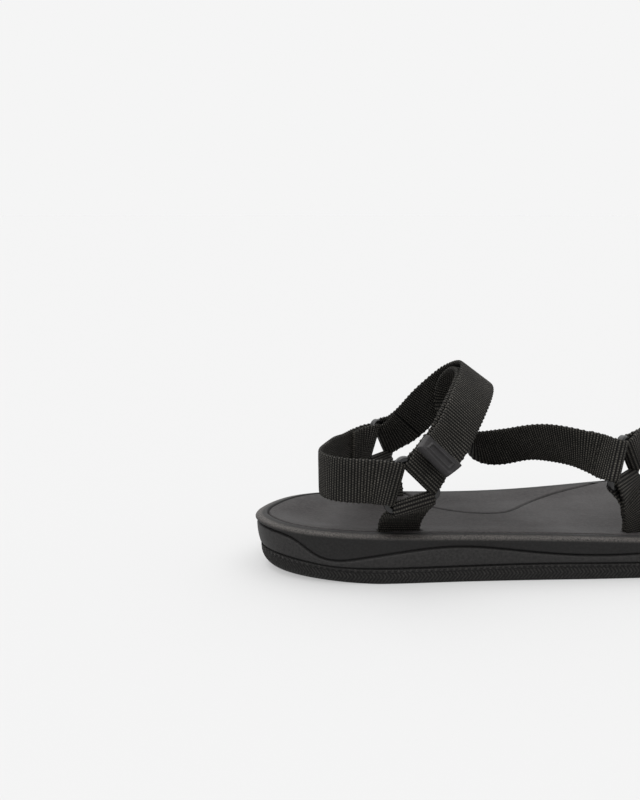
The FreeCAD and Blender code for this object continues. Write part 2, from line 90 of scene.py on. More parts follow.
class Spline:
    """A cubic curve through points, with distance along the chords as its parameter."""

    def __init__(self, points, closed=False):
        points = np.array(points, float)
        if closed:
            points = np.vstack([points, points[:1]])
        self.points = points
        gaps = np.linalg.norm(np.diff(points, axis=0), axis=1)
        self.knots = np.concatenate([[0], np.cumsum(gaps)])
        self.length = self.knots[-1]
        self.gaps = gaps
        count = len(points)
        matrix = np.eye(count)
        right = np.zeros_like(points)
        slopes = np.diff(points, axis=0) / gaps[:, None]
        for i in range(1, count - 1):
            matrix[i, i - 1:i + 2] = [gaps[i - 1], 2 * (gaps[i - 1] + gaps[i]), gaps[i]]
            right[i] = 6 * (slopes[i] - slopes[i - 1])
        if closed:
            matrix[0] = 0
            matrix[0, [0, 1, -2]] = [2 * (gaps[0] + gaps[-1]), gaps[0], gaps[-1]]
            right[0] = 6 * (slopes[0] - slopes[-1])
            matrix[-1, 0] = -1
        self.bends = np.linalg.solve(matrix, right)

    def __call__(self, distance):
        distance = np.atleast_1d(np.asarray(distance, float))
        i = np.clip(np.searchsorted(self.knots, distance, side="right") - 1, 0, len(self.gaps) - 1)
        gap = self.gaps[i][:, None]
        after = (distance - self.knots[i])[:, None] / gap
        before = 1 - after
        curve = ((before ** 3 - before) * self.bends[i] + (after ** 3 - after) * self.bends[i + 1])
        return before * self.points[i] + after * self.points[i + 1] + curve * gap * gap / 6


def height_along(points):
    """A function that gives the height of a line of (station, height) points at stations."""
    line = Spline(points)
    drawn = line(np.linspace(0, line.length, 600))
    return lambda station: np.interp(station, drawn[:, 0], drawn[:, 1])


rim_height = height_along(RIM_LINE)
wave_height = height_along(SIDE_WAVE)
band_height = height_along(BAND_TOP)


# ---------------------------------------------------------------- meshes
def piece(name, vertices, faces, material, cloth=None, smooth_faces=True):
    """A mesh object from millimetre vertices; cloth holds each vertex's place on its strap."""
    mesh = bpy.data.meshes.new(name)
    mesh.from_pydata((np.asarray(vertices) * MM).tolist(), [], faces)
    mesh.materials.append(material)
    if cloth is not None:
        layer = mesh.attributes.new("cloth", "FLOAT_VECTOR", "POINT")
        layer.data.foreach_set("vector", np.asarray(cloth, np.float32).ravel())
    mesh.polygons.foreach_set("use_smooth", [smooth_faces] * len(mesh.polygons))
    mesh.validate()
    thing = bpy.data.objects.new(name, mesh)
    bpy.context.scene.collection.objects.link(thing)
    return thing


def grid_faces(rows, columns, wrap, first=0):
    """Quads of a grid of vertices, row after row; wrap closes each row on itself."""
    last = columns if wrap else columns - 1
    faces = []
    for r in range(rows - 1):
        for c in range(last):
            a = first + r * columns + c
            b = first + r * columns + (c + 1) % columns
            faces.append((a, b, b + columns, a + columns))
    return faces


class Mesher:
    """Collects grids into one mesh."""

    def __init__(self):
        self.vertices = []
        self.faces = []
        self.cloth = []
        self.count = 0

    def grid(self, rows, wrap=True, cloth=None, caps=False):
        rows = np.asarray(rows, float)
        count, columns = rows.shape[:2]
        self.faces += grid_faces(count, columns, wrap, self.count)
        if caps:
            start = self.count
            end = self.count + (count - 1) * columns
            self.faces.append(tuple(range(start + columns - 1, start - 1, -1)))
            self.faces.append(tuple(range(end, end + columns)))
        self.vertices.append(rows.reshape(-1, 3))
        self.cloth.append(np.zeros((count * columns, 3)) if cloth is None
                          else np.asarray(cloth).reshape(-1, 3))
        self.count += count * columns

    def piece(self, name, material, smooth_faces=True):
        return piece(name, np.vstack(self.vertices), self.faces, material,
                     np.vstack(self.cloth), smooth_faces)


# ---------------------------------------------------------------- materials
class Shader:
    """A node material with short calls for the few nodes used here."""

    def __init__(self, name, colour, roughness, sheen=0.0, coat=0.0, specular=0.5):
        self.material = bpy.data.materials.new(name)
        self.material.use_nodes = True
        self.tree = self.material.node_tree
        self.surface = next(node for node in self.tree.nodes if node.type == "BSDF_PRINCIPLED")
        self.surface.inputs["Base Color"].default_value = (*colour, 1)
        self.surface.inputs["Roughness"].default_value = roughness
        self.surface.inputs["Sheen Weight"].default_value = sheen
        self.surface.inputs["Sheen Roughness"].default_value = 0.45
        self.surface.inputs["Coat Weight"].default_value = coat
        self.surface.inputs["Specular IOR Level"].default_value = specular
        self.places = self.node("ShaderNodeTexCoord").outputs["Object"]

    def node(self, kind, **settings):
        made = self.tree.nodes.new(kind)
        for key, value in settings.items():
            setattr(made, key, value)
        return made

    def link(self, source, target):
        self.tree.links.new(source, target)

    def noise(self, scale, detail=4.0, roughness=0.6, places=None):
        made = self.node("ShaderNodeTexNoise")
        made.inputs["Scale"].default_value = scale
        made.inputs["Detail"].default_value = detail
        made.inputs["Roughness"].default_value = roughness
        self.link(places or self.places, made.inputs["Vector"])
        return made.outputs["Fac"]

    def cells(self, scale):
        made = self.node("ShaderNodeTexVoronoi")
        made.inputs["Scale"].default_value = scale
        self.link(self.places, made.inputs["Vector"])
        return made.outputs["Distance"]

    def maths(self, operation, first, second=None, clamp=False):
        made = self.node("ShaderNodeMath", operation=operation, use_clamp=clamp)
        for socket, value in zip(made.inputs, (first, second)):
            if value is None:
                continue
            if isinstance(value, (int, float)):
                socket.default_value = value
            else:
                self.link(value, socket)
        return made.outputs[0]

    def spread(self, value, low, high, start=0.0, end=1.0):
        made = self.node("ShaderNodeMapRange")
        made.inputs["From Min"].default_value = low
        made.inputs["From Max"].default_value = high
        made.inputs["To Min"].default_value = start
        made.inputs["To Max"].default_value = end
        self.link(value, made.inputs["Value"])
        return made.outputs["Result"]

    def blend(self, share, first, second):
        made = self.node("ShaderNodeMix", data_type="RGBA")
        self.link(share, made.inputs["Factor"])
        for socket, value in ((made.inputs[6], first), (made.inputs[7], second)):
            if isinstance(value, tuple):
                socket.default_value = (*value, 1)
            else:
                self.link(value, socket)
        return made.outputs[2]

    def colour(self, value):
        self.link(value, self.surface.inputs["Base Color"])

    def rough(self, value):
        self.link(value, self.surface.inputs["Roughness"])

    def bump(self, layers):
        """Bumps stacked on each other: (height, millimetres deep)."""
        last = None
        for height, depth in layers:
            made = self.node("ShaderNodeBump")
            made.inputs["Distance"].default_value = depth * MM
            made.inputs["Strength"].default_value = 1.0
            self.link(height, made.inputs["Height"])
            if last:
                self.link(last, made.inputs["Normal"])
            last = made.outputs["Normal"]
        self.link(last, self.surface.inputs["Normal"])


# Painted shade: near-black colour laid into the grooves and the seam above the outsole, where shade
# falls.
GROOVE_SHADE_COLOUR = (0.002, 0.002, 0.002)
PILLOW_PITCH = 0.95


def foam(name, dark, light, roughness, grain, depth, rim=None):
    """Moulded skin, closely stippled and a little mottled.

    The cloth attribute marks its lower panel, painted lighter as painted light; its grooves, painted
    near black as painted shade; and its coarse rim and raised tread crests, painted lighter as a
    painted highlight.
    """
    shader = Shader(name, dark, roughness, specular=0.25)
    stipple = shader.noise(grain, 3.0, 0.7)
    mottle = shader.noise(35, 3.0)
    speck = shader.spread(shader.noise(grain * 0.6, 2.0), 0.35, 0.7)
    share = shader.maths("MULTIPLY", speck, shader.spread(mottle, 0.3, 0.7, 0.55, 1.0))
    colour = shader.blend(share, dark, light)
    bumps = [(shader.noise(160, 2.0), 0.05), (stipple, depth)]
    cloth = shader.node("ShaderNodeAttribute", attribute_name="cloth").outputs["Vector"]
    split = shader.node("ShaderNodeSeparateXYZ")
    shader.link(cloth, split.inputs[0])
    if rim:
        rim_highlight_mask = split.outputs[2]
        # Painted light: the lower sidewall panel, below the wave, is painted lighter as though it
        # caught more light.
        lit_panel_colour = tuple(1.9 * value for value in light)
        lift = shader.maths("MULTIPLY", split.outputs[0], shader.spread(speck, 0, 1, 0.25, 0.8))
        colour = shader.blend(lift, colour, lit_panel_colour)
        coarse = shader.noise(1700, 2.0, 0.5)
        # Painted highlight: the rim's rounded edge and top band, and the outsole's tread crests, are
        # painted lighter, broken up by the coarse stipple noise.
        rim_highlight = shader.maths("MULTIPLY", rim_highlight_mask, shader.spread(coarse, 0.25, 0.7), clamp=True)
        colour = shader.blend(rim_highlight, colour, rim)
        bumps.append((shader.maths("MULTIPLY", rim_highlight_mask, coarse), 0.3))
    # Painted shade: the cloth y channel paints the grooves near black.
    colour = shader.blend(split.outputs[1], colour, GROOVE_SHADE_COLOUR)
    shader.colour(colour)
    shader.rough(shader.spread(mottle, 0.3, 0.7, roughness - 0.07, roughness + 0.08))
    shader.bump(bumps)
    return shader.material


def webbing_material():
    """Polyester webbing: pillowed weft ribs, offset row by row, of twisted glossy yarn, with a
    painted highlight on the rib crests and painted shade in the valleys.
    """
    # dark is the painted shade in the valleys, light the painted highlight on the rib crests.
    dark = (0.0012, 0.0011, 0.001)
    light = (0.12, 0.112, 0.097)
    shader = Shader("webbing_weave", dark, 0.7, specular=0.14)
    cloth = shader.node("ShaderNodeAttribute", attribute_name="cloth").outputs["Vector"]
    split = shader.node("ShaderNodeSeparateXYZ")
    shader.link(cloth, split.inputs[0])
    along, across = split.outputs[0], split.outputs[1]
    row = shader.maths("DIVIDE", along, RIB_PITCH)
    stagger = shader.maths("MULTIPLY", shader.maths("FLOORED_MODULO",
                                                    shader.maths("FLOOR", row), 2.0), math.pi)
    turns = shader.maths("ADD", shader.maths("MULTIPLY", across, 2 * math.pi / PILLOW_PITCH), stagger)
    pillow = shader.spread(shader.maths("SINE", turns), -1, 1)
    rib = shader.maths("ABSOLUTE", shader.maths("SINE", shader.maths("MULTIPLY", row, math.pi)))
    lit_crest = shader.maths("POWER", rib, 3.4)
    slant = shader.maths("ADD", shader.maths("MULTIPLY", along, 9.0),
                         shader.maths("MULTIPLY", across, 16.0))
    yarn = shader.spread(shader.maths("SINE", slant), -1, 1)
    fibre = shader.noise(900, 2.0)
    wear_and_sheen = shader.noise(70, 3.0)
    # Painted highlight on the rib crests and pillow tops, varied by fibre and wear-and-sheen noise;
    # painted shade in the valleys.
    share = shader.maths("MULTIPLY", shader.maths("MULTIPLY", lit_crest,
                                                  shader.spread(pillow, 0, 1, 0.25, 1)),
                         shader.spread(fibre, 0.3, 0.7, 0.4, 1.0), clamp=True)
    share = shader.maths("MULTIPLY", share, shader.spread(wear_and_sheen, 0.3, 0.7, 0.6, 1.0))
    shader.colour(shader.blend(share, dark, light))
    shader.rough(shader.spread(fibre, 0.3, 0.7, 0.6, 0.8))
    shader.bump([(pillow, 0.2), (yarn, 0.05), (shader.noise(2600, 2.0), 0.05)])
    return shader.material


def tape_material(name, colour, scale, depth):
    """Hook or loop tape: a dense pile of tiny hooks or curls."""
    shader = Shader(name, colour, 0.9, specular=0.1)
    pile = shader.cells(scale)
    lift = tuple(4 * value for value in colour)
    shader.colour(shader.blend(shader.spread(pile, 0.1, 0.8), lift, colour))
    shader.bump([(shader.noise(scale * 0.4), depth), (pile, depth)])
    return shader.material


def plastic_material():
    """Glossy moulded plastic of the rings, faintly uneven, with fine rubbed scratches."""
    shader = Shader("ring_gloss", (0.005, 0.005, 0.005), 0.25, specular=0.5)
    wear_and_sheen = shader.noise(420, 4.0)
    shader.colour(shader.blend(shader.spread(wear_and_sheen, 0.55, 0.8), (0.0045, 0.0045, 0.0045),
                               (0.011, 0.011, 0.0105)))
    shader.rough(shader.spread(wear_and_sheen, 0.3, 0.75, 0.16, 0.34))
    shader.bump([(shader.noise(130, 2.0), 0.03), (shader.noise(1800, 2.0), 0.008)])
    return shader.material


def tab_material():
    shader = Shader("tab_satin", (0.022, 0.0205, 0.021), 0.55, specular=0.25)
    grain = shader.noise(1500, 3.0)
    cloud = shader.noise(120, 3.0)
    shader.colour(shader.blend(shader.spread(cloud, 0.3, 0.7), (0.013, 0.0122, 0.0126),
                               (0.025, 0.0234, 0.0242)))
    shader.rough(shader.spread(grain, 0.3, 0.7, 0.42, 0.6))
    shader.bump([(grain, 0.03)])
    return shader.material


def thread_material():
    shader = Shader("sewing_thread", (0.015, 0.014, 0.012), 0.7, specular=0.15)
    twist = shader.noise(3500, 2.0)
    shader.colour(shader.blend(twist, (0.006, 0.006, 0.0055), (0.022, 0.0205, 0.0175)))
    shader.bump([(twist, 0.06)])
    return shader.material


# The last colour of the outsole and the midsole is the rim colour, a painted highlight on the tread
# crests and on the rim's rounded edge.
OUTSOLE_RUBBER = foam("outsole_rubber_skin", (0.002, 0.0019, 0.0018), (0.007, 0.0067, 0.0063), 0.7,
                      1500, 0.06, (0.034, 0.032, 0.0305))
MIDSOLE_FOAM = foam("midsole_foam_skin", (0.0072, 0.0069, 0.0068), (0.0148, 0.0141, 0.0138), 0.62,
                    1900, 0.05, (0.078, 0.0705, 0.065))
FOOTBED_FOAM = foam("footbed_foam_skin", (0.0185, 0.0166, 0.0165), (0.039, 0.0352, 0.0348), 0.66,
                    1300, 0.08)
WEBBING = webbing_material()
HOOKS = tape_material("hook_pile", (0.006, 0.006, 0.006), 1500, 0.25)
LOOPS = tape_material("loop_pile", (0.009, 0.009, 0.008), 1100, 0.3)
PLASTIC = plastic_material()
TAB_RUBBER = tab_material()
THREAD = thread_material()


# ---------------------------------------------------------------- sole
RIM_STEP = 0.9
RIM_ROLL = 1.3
BAND_OVERLAP = 1.2
WAVE_DEPTH = 1.3
WAVE_WIDTH = 0.33
SEAM_DEPTH = 1.1
SEAM_WIDTH = 0.45
HEEL_ROUND = 7.5
TOE_ROUND = 6
BAND_INSET = 2.6
HERRINGBONE_PITCH = 1.45
HERRINGBONE_DEPTH = 0.5
NOTCH_PITCH = 2 * math.pi / 2.6
NOTCH_HEIGHT = 1.2
NOTCH_DEPTH = 0.8
TREAD_PITCH = 6.5
TREAD_DEPTH = 1.3
ZIGZAG_PITCH = 11
FOOTBED_GAP = 0.25
ARCH_LINE_DEPTH = 1.1
ARCH_LINE_WIDTH = 0.55
LATERAL_SLOT = (52.8, -29)
MEDIAL_SLOT = (60.5, 25.5)
FRONT_SLOT = (150.5, -35.7)
FRONT_SLOT_YAW = 20
TOE_SLOT = (213, 36.5)
TOE_SLOT_YAW = -10
SLOT_RECESS = 2.4


class Edge:
    """The sole's edge as evenly spaced samples, with the direction into the sole."""

    def __init__(self, count):
        curve = Spline(SOLE_EDGE, closed=True)
        self.along = np.linspace(0, curve.length, count, endpoint=False)
        self.places = curve(self.along)
        before = curve(np.mod(self.along - 0.5, curve.length))
        after = curve(np.mod(self.along + 0.5, curve.length))
        run = unit(after - before)
        self.inward = np.stack([-run[:, 1], run[:, 0]], 1)

    def ring(self, inset, height):
        """Vertices along the edge moved inwards by inset, at a height."""
        inset = np.broadcast_to(inset, len(self.places))[:, None]
        flat = self.places + self.inward * inset
        height = np.broadcast_to(height, len(flat))
        return np.column_stack([flat[:, 0] - SOLE_LENGTH / 2, flat[:, 1], height])

    def station(self, inset=0.0):
        return (self.places + self.inward * inset)[:, 0]

    def spine(self):
        """For each sample, the point of the sole's middle line that it faces."""
        station = np.clip(self.places[:, 0], 42, 206)
        lateral = self.places[self.places[:, 1] < 0]
        medial = self.places[self.places[:, 1] >= 0]
        low = np.interp(station, *lateral[np.argsort(lateral[:, 0])].T)
        high = np.interp(station, *medial[np.argsort(medial[:, 0])].T)
        return np.column_stack([station - SOLE_LENGTH / 2, (low + high) / 2])


def groove(distance, width):
    return np.exp(-(distance / width) ** 2)


def heel_and_toe(station, heel, toe):
    """A value that is heel at the back of the sole, toe at its front and nothing between."""
    return heel * (1 - smooth((station - 6) / 40)) + toe * smooth((station - 228) / 28)


def build_midsole():
    """Sidewall with its wave groove, and the stippled rim that falls outwards."""
    edge = Edge(1300)
    rows = []
    rim_highlight_masks = []
    lit_panel_share = []
    groove_shade = []
    station = edge.station()
    rim = rim_height(station) - RIM_STEP
    foot = band_height(station) - BAND_OVERLAP
    wave = wave_height(station)
    slope = np.gradient(wave) / (edge.along[1] - edge.along[0])
    steep = np.sqrt(1 + np.minimum(np.abs(slope), 3) ** 2)
    for share in np.linspace(0, 1, 56):
        height = foot + (rim - RIM_ROLL - foot) * share
        under = smooth((height - wave) / steep / 0.5 + 0.5)
        below = np.clip((wave - height) / np.maximum(wave - foot, 1), 0, 1)
        above = np.clip((height - wave) / np.maximum(rim - RIM_ROLL - wave, 1), 0, 1)
        upper = 1.5 - 1.1 * above ** 1.5
        lower = 1.0 + 2.2 * below ** 2.2
        line = WAVE_DEPTH * groove((height - wave) / steep, WAVE_WIDTH)
        seam = SEAM_DEPTH * groove(height - foot - BAND_OVERLAP - 0.3, SEAM_WIDTH)
        rows.append(edge.ring(lower * (1 - under) + upper * under + line + seam, height))
        # Marks the lower panel for its painted light.
        lit_panel_share.append(1 - under)
        # Painted shade along the wave groove and the seam above the outsole.
        groove_shade.append(np.minimum(1, 0.75 * groove((height - wave) / steep, 0.3) + seam))
        rim_highlight_masks.append(np.zeros(len(rim)))
    for turn in np.linspace(0.15, 1, 8) * math.pi / 2:
        rows.append(edge.ring(0.35 + RIM_ROLL * (1 - math.cos(turn)),
                              rim - RIM_ROLL * (1 - math.sin(turn))))
        # The rolled rim edge is marked for its painted highlight.
        rim_highlight_masks.append(np.full(len(rim), min(1.0, turn)))
        lit_panel_share.append(np.zeros(len(rim)))
        groove_shade.append(np.zeros(len(rim)))
    for inset in np.linspace(RIM_ROLL + 0.6, FOOTBED_INSET + 1.4, 16):
        rise = 0.75 * smooth((inset - RIM_ROLL) / 3.4)
        trench = 1.4 * smooth((inset - FOOTBED_INSET + FOOTBED_GAP) / 0.5) * edge_groove(edge)
        rows.append(edge.ring(inset, rim_height(edge.station(inset)) - RIM_STEP + rise - trench))
        rim_highlight_masks.append(np.full(len(rim), 1 - smooth((inset - 2.3) / 1.4)))
        lit_panel_share.append(np.zeros(len(rim)))
        groove_shade.append(np.zeros(len(rim)))
    cloth = np.zeros((len(rows), len(rim), 3))
    cloth[:, :, 0] = np.array(lit_panel_share)
    cloth[:, :, 1] = np.array(groove_shade)
    cloth[:, :, 2] = np.array(rim_highlight_masks)
    made = Mesher()
    made.grid(rows[::-1], cloth=cloth[::-1])
    return made.piece("midsole_shell", MIDSOLE_FOAM)


def edge_groove(edge):
    """1 where the groove runs round the footbed, 0 along the arch, where the wave takes over."""
    station, side = edge.places[:, 0], edge.places[:, 1]
    arch = smooth((station - 58) / 8) * (1 - smooth((station - 166) / 8)) * (side > 0)
    return 1 - arch


def build_outsole():
    """Rubber bottom: notched top edge, herringbone side band, rounded heel and grooved tread."""
    edge = Edge(2600)
    side = []
    cloth = []
    top = band_height(edge.station())
    round_in = 1.5 + heel_and_toe(edge.station(), HEEL_ROUND, TOE_ROUND)
    for share in np.linspace(0, 1, 30):
        height = top * (1 - share)
        inset = BAND_INSET + round_in * (1 - math.sqrt(1 - share ** 2.4))
        weave = np.abs(np.sin(math.pi * (edge.along / HERRINGBONE_PITCH
                                         + np.abs(height - top * 0.5) / 1.9)))
        band = smooth((top - 1.3 - height) / 0.4) * smooth((height - 0.7) / 0.4)
        lip = smooth((height - top + NOTCH_HEIGHT) / 0.25)
        notch = lip * smooth(np.sin(edge.along * 2 * math.pi / NOTCH_PITCH) * 2 + 0.5)
        carved = HERRINGBONE_DEPTH * (1 - weave) * band + NOTCH_DEPTH * notch
        side.append(edge.ring(inset + carved, height))
        # Painted highlight: the herringbone crests and the notched lip's tops are marked to be
        # painted lighter.
        lit_crest = np.maximum(weave ** 2 * band, lip * (1 - notch))
        cloth.append(np.column_stack([np.zeros((len(top), 2)), lit_crest]))
    coarse = Edge(900)
    tread = []
    outer = coarse.ring(4.6 + heel_and_toe(coarse.station(), HEEL_ROUND, TOE_ROUND), 0)
    spine = coarse.spine()
    for share in np.concatenate([[0.0], np.linspace(0.01, 1, 110)]):
        flat = outer[:, :2] * (1 - share) + spine * share
        zigzag = np.abs(np.mod(flat[:, 1] / ZIGZAG_PITCH, 1) - 0.5) * 9
        phase = np.abs(np.mod((flat[:, 0] + zigzag) / TREAD_PITCH, 1) - 0.5) * TREAD_PITCH
        channel = TREAD_DEPTH * (1 - smooth((phase - 0.55) / 0.5)) * smooth(share / 0.06)
        bar = smooth((np.abs(flat[:, 0] + 20) - 1.2) / 0.8)
        tread.append(np.column_stack([flat, np.maximum(channel, TREAD_DEPTH * (1 - bar))]))
    made = Mesher()
    made.grid(side, cloth=cloth)
    made.grid(tread)
    return made.piece("outsole_tread", OUTSOLE_RUBBER)


SLOTS = [
    (LATERAL_SLOT, 0),
    (MEDIAL_SLOT, 0),
    (FRONT_SLOT, FRONT_SLOT_YAW),
    (TOE_SLOT, TOE_SLOT_YAW),
]


def slot_depth(flat):
    """Depth of the small recesses where straps enter the footbed."""
    depth = np.zeros(len(flat))
    for (station, side), yaw in SLOTS:
        turn = math.radians(yaw)
        away = flat - np.array([station - SOLE_LENGTH / 2, side])
        length = np.abs(away @ np.array([math.cos(turn), math.sin(turn)])) - WEB_WIDTH / 2
        width = np.abs(away @ np.array([-math.sin(turn), math.cos(turn)])) - 1.6
        depth = np.maximum(depth, 1 - smooth(np.maximum(length, width) / 1.3 + 0.3))
    return SLOT_RECESS * depth


def build_footbed():
    """Cupped top layer with its edge groove, the wave over the arch and the strap slots."""
    edge = Edge(1300)
    outer = edge.ring(FOOTBED_INSET + FOOTBED_GAP, 0)
    spine = edge.spine()
    line = Spline(ARCH_WAVE)
    drawn = line(np.linspace(0, line.length, 260)) - np.array([SOLE_LENGTH / 2, 0])
    beside = edge_groove(edge)
    rows = []
    groove_shade = []
    for share in np.concatenate([np.linspace(0, 0.12, 18)[:-1], np.linspace(0.12, 1, 110)]):
        flat = outer[:, :2] * (1 - share) + spine * share
        depth_in = np.linalg.norm(flat - outer[:, :2], axis=1)
        station = flat[:, 0] + SOLE_LENGTH / 2
        shoulder = 1.1 * (1 - smooth(depth_in / 0.9)) * beside
        height = rim_height(station) - 0.15 - shoulder
        cup = 1.3 * smooth(depth_in / 16) + 0.9 * smooth((depth_in - 4) / 24) \
            * (1 - smooth((station - 60) / 60))
        away = np.sqrt(((flat[:, None, :] - drawn[None, :, :]) ** 2).sum(2)).min(1)
        arch = ARCH_LINE_DEPTH * groove(away, ARCH_LINE_WIDTH)
        rows.append(np.column_stack([flat, height - cup - arch - slot_depth(flat)]))
        # Painted shade along the arch groove.
        groove_shade.append(0.8 * groove(away, 0.45))
    cloth = np.zeros((len(rows), len(outer), 3))
    cloth[:, :, 1] = np.array(groove_shade)
    made = Mesher()
    made.grid(rows, cloth=cloth)
    return made.piece("footbed_top", FOOTBED_FOAM)


# ---------------------------------------------------------------- rings and bars
class Ring:
    def __init__(self, node, centre, yaw, corner_angle):
        self.node = node
        self.centre = centre
        self.forward = np.array([math.cos(math.radians(yaw)), math.sin(math.radians(yaw)), 0])
        self.corner_angle = corner_angle

    def in_plane(self, angle):
        turn = math.radians(angle)
        return self.forward * math.cos(turn) + np.array([0, 0, math.sin(turn)])

    def bar(self, index):
        """Middle of a bar and the direction along it."""
        angle = self.corner_angle + 180 + 120 * index
        reach = RING_INNER_SIDE / (2 * math.sqrt(3)) + RING_BAR / 2
        return self.centre + self.in_plane(angle) * reach, self.in_plane(angle + 90)


LATERAL_REAR = Ring("ring_lateral_rear", at(53.3, -40.5, 40), 0, 105)
MEDIAL_REAR = Ring("ring_medial_rear", at(59.6, 36.4, 39.2), 40, 93)
LATERAL_FRONT = Ring("ring_lateral_front", at(140.4, -38.5, 44.1), 36, 98)
BOTTOM, FRONT_TOP, REAR = 0, 1, 2


# ---------------------------------------------------------------- routes of the straps
class Route:
    """A strap's middle line with the direction across it."""

    def __init__(self, stations):
        points = [point for point, across in stations]
        self.line = Spline(points)
        self.length = self.line.length
        self.side = Spline([point + unit(across) * 10 for point, across in stations])
        self.side_scale = self.side.knots
        self.knots = self.line.knots
        self.end_sides = [unit(stations[0][1]), unit(stations[-1][1])]

    def frame(self, distance):
        """Points, directions along, directions across and outward normals at distances."""
        distance = np.atleast_1d(np.asarray(distance, float))
        point = self.line(distance)
        step = 0.05
        low = np.clip(distance - step, 0, self.length)
        high = np.clip(distance + step, 0, self.length)
        along = unit(self.line(high) - self.line(low))
        across = self.side(np.interp(distance, self.knots, self.side_scale)) - point
        across = unit(across - along * (across * along).sum(1, keepdims=True))
        return point, along, across, np.cross(across, along)


def ring_end(ring, index, sign):
    middle, along = ring.bar(index)
    return middle, along * sign


def footbed_height(station):
    return float(np.interp(station, *np.array(RIM_LINE).T)) - 1


def slot_end(station, side, across):
    top = footbed_height(station)
    return [(at(station, side, top - 7), across), (at(station, side, top + 2), across)]


HEEL = Route([
    ring_end(LATERAL_REAR, REAR, -1),
    (at(37, -38.5, 42.5), (0.05, 0, 1)),
    (at(27.2, -33.2, 42.6), (0.03, 0.05, 1)),
    (at(23.4, -23.5, 42.4), (0, 0.02, 1)),
    (at(27, -8, 41.9), (-0.03, 0, 1)),
    (at(35.6, 9, 41.6), (-0.05, -0.02, 1)),
    (at(45, 24.6, 40.8), (0.1, 0.06, 1)),
    ring_end(MEDIAL_REAR, REAR, -1),
])
DIAGONAL = Route([
    ring_end(LATERAL_REAR, FRONT_TOP, -1),
    (at(66.5, -39.5, 55.5), (0.78, 0.1, -0.62)),
    (at(73.5, -33.5, 63.5), (0.8, 0.1, -0.6)),
    (at(81, -23, 70), (0.81, 0.05, -0.58)),
    (at(86.8, -11, 73.6), (0.8, 0, -0.6)),
    (at(89, 1, 73.6), (0.8, 0, -0.6)),
    (at(88.6, 12, 69.2), (0.84, -0.05, -0.54)),
    (at(89.6, 18.8, 61), (0.9, -0.1, -0.4)),
    (at(92.6, 19.6, 52.5), (0.75, 0.25, -0.6)),
    (at(97.5, 15.8, 42.6), (0.3, 0.4, -0.87)),
    (at(104, 8.4, 42.6), (0, 0.48, -0.88)),
    (at(112, -1.5, 46.2), (0.08, 0.55, -0.83)),
    (at(119, -14, 48.8), (0.1, 0.42, -0.9)),
    (at(126.5, -29.4, 49.2), (0.08, 0.18, -0.98)),
    ring_end(LATERAL_FRONT, REAR, 1),
])
PATCH_THICKNESS = 0.8
PLY_SPACING = 2 * PATCH_THICKNESS + 0.6 + WEB_THICKNESS


def over_diagonal(distance):
    point, _, across, normal = (value[0] for value in DIAGONAL.frame(distance))
    return point + normal * PLY_SPACING, -across


CLOSURE = Route([
    ring_end(MEDIAL_REAR, FRONT_TOP, 1),
    (at(70.6, 36.4, 47), (-0.5, -0.2, 0.84)),
    (at(80.5, 27, 60), (-0.56, -0.12, 0.82)),
    over_diagonal(71),
    over_diagonal(58),
    over_diagonal(47),
    over_diagonal(35),
    over_diagonal(24),
    over_diagonal(14),
    (at(59.6, -48.6, 51.1), (-0.77, -0.06, 0.64)),
])
TAB_START = CLOSURE.length - TAB_LENGTH
TOE = Route([
    ring_end(LATERAL_FRONT, FRONT_TOP, -1),
    (at(153.4, -31, 48.6), (0.62, 0.18, -0.76)),
    (at(169, -18, 47.4), (0.62, 0, -0.78)),
    (at(186, -1, 43.4), (0.66, -0.06, -0.74)),
    (at(200, 17, 37), (0.76, -0.12, -0.62)),
    (at(209.5, 30.5, 27), (0.88, -0.16, -0.4)),
] + slot_end(*TOE_SLOT, (0.98, -0.17, 0))[::-1])
LATERAL_ANCHOR = Route(slot_end(*LATERAL_SLOT, (1, 0, 0)) + [
    (at(54, -35.5, 28.6), (1, 0, 0.1)),
    ring_end(LATERAL_REAR, BOTTOM, 1),
])
MEDIAL_ANCHOR = Route(slot_end(*MEDIAL_SLOT, (-1, 0, 0)) + [
    (at(60.3, 30.2, 27), (-0.96, -0.25, 0)),
    ring_end(MEDIAL_REAR, BOTTOM, -1),
])
FRONT_YAW = math.radians(FRONT_SLOT_YAW)
FRONT_ACROSS = (math.cos(FRONT_YAW), math.sin(FRONT_YAW), 0)
FRONT_ANCHOR = Route(slot_end(*FRONT_SLOT, FRONT_ACROSS) + [
    (at(147.5, -38, 29.5), (*FRONT_ACROSS[:2], 0.1)),
    ring_end(LATERAL_FRONT, BOTTOM, 1),
])


# ---------------------------------------------------------------- webbing
LOOP_RADIUS = RING_BAR / 2 + WEB_THICKNESS / 2 + 0.25
ROW_STEP = RIB_PITCH / 5
FOLD_WIDTH = 16.4
LEAN_LENGTH = 10


def leaning(route, distance, across, at_start, at_end):
    """The directions across a strap, brought parallel to the bars it turns round."""
    for turned, gap, side in ((at_start, distance, route.end_sides[0]),
                              (at_end, route.length - distance, route.end_sides[1])):
        if turned:
            share = (1 - smooth(gap / LEAN_LENGTH))[:, None]
            across = unit(across * (1 - share) + side * share)
    return across


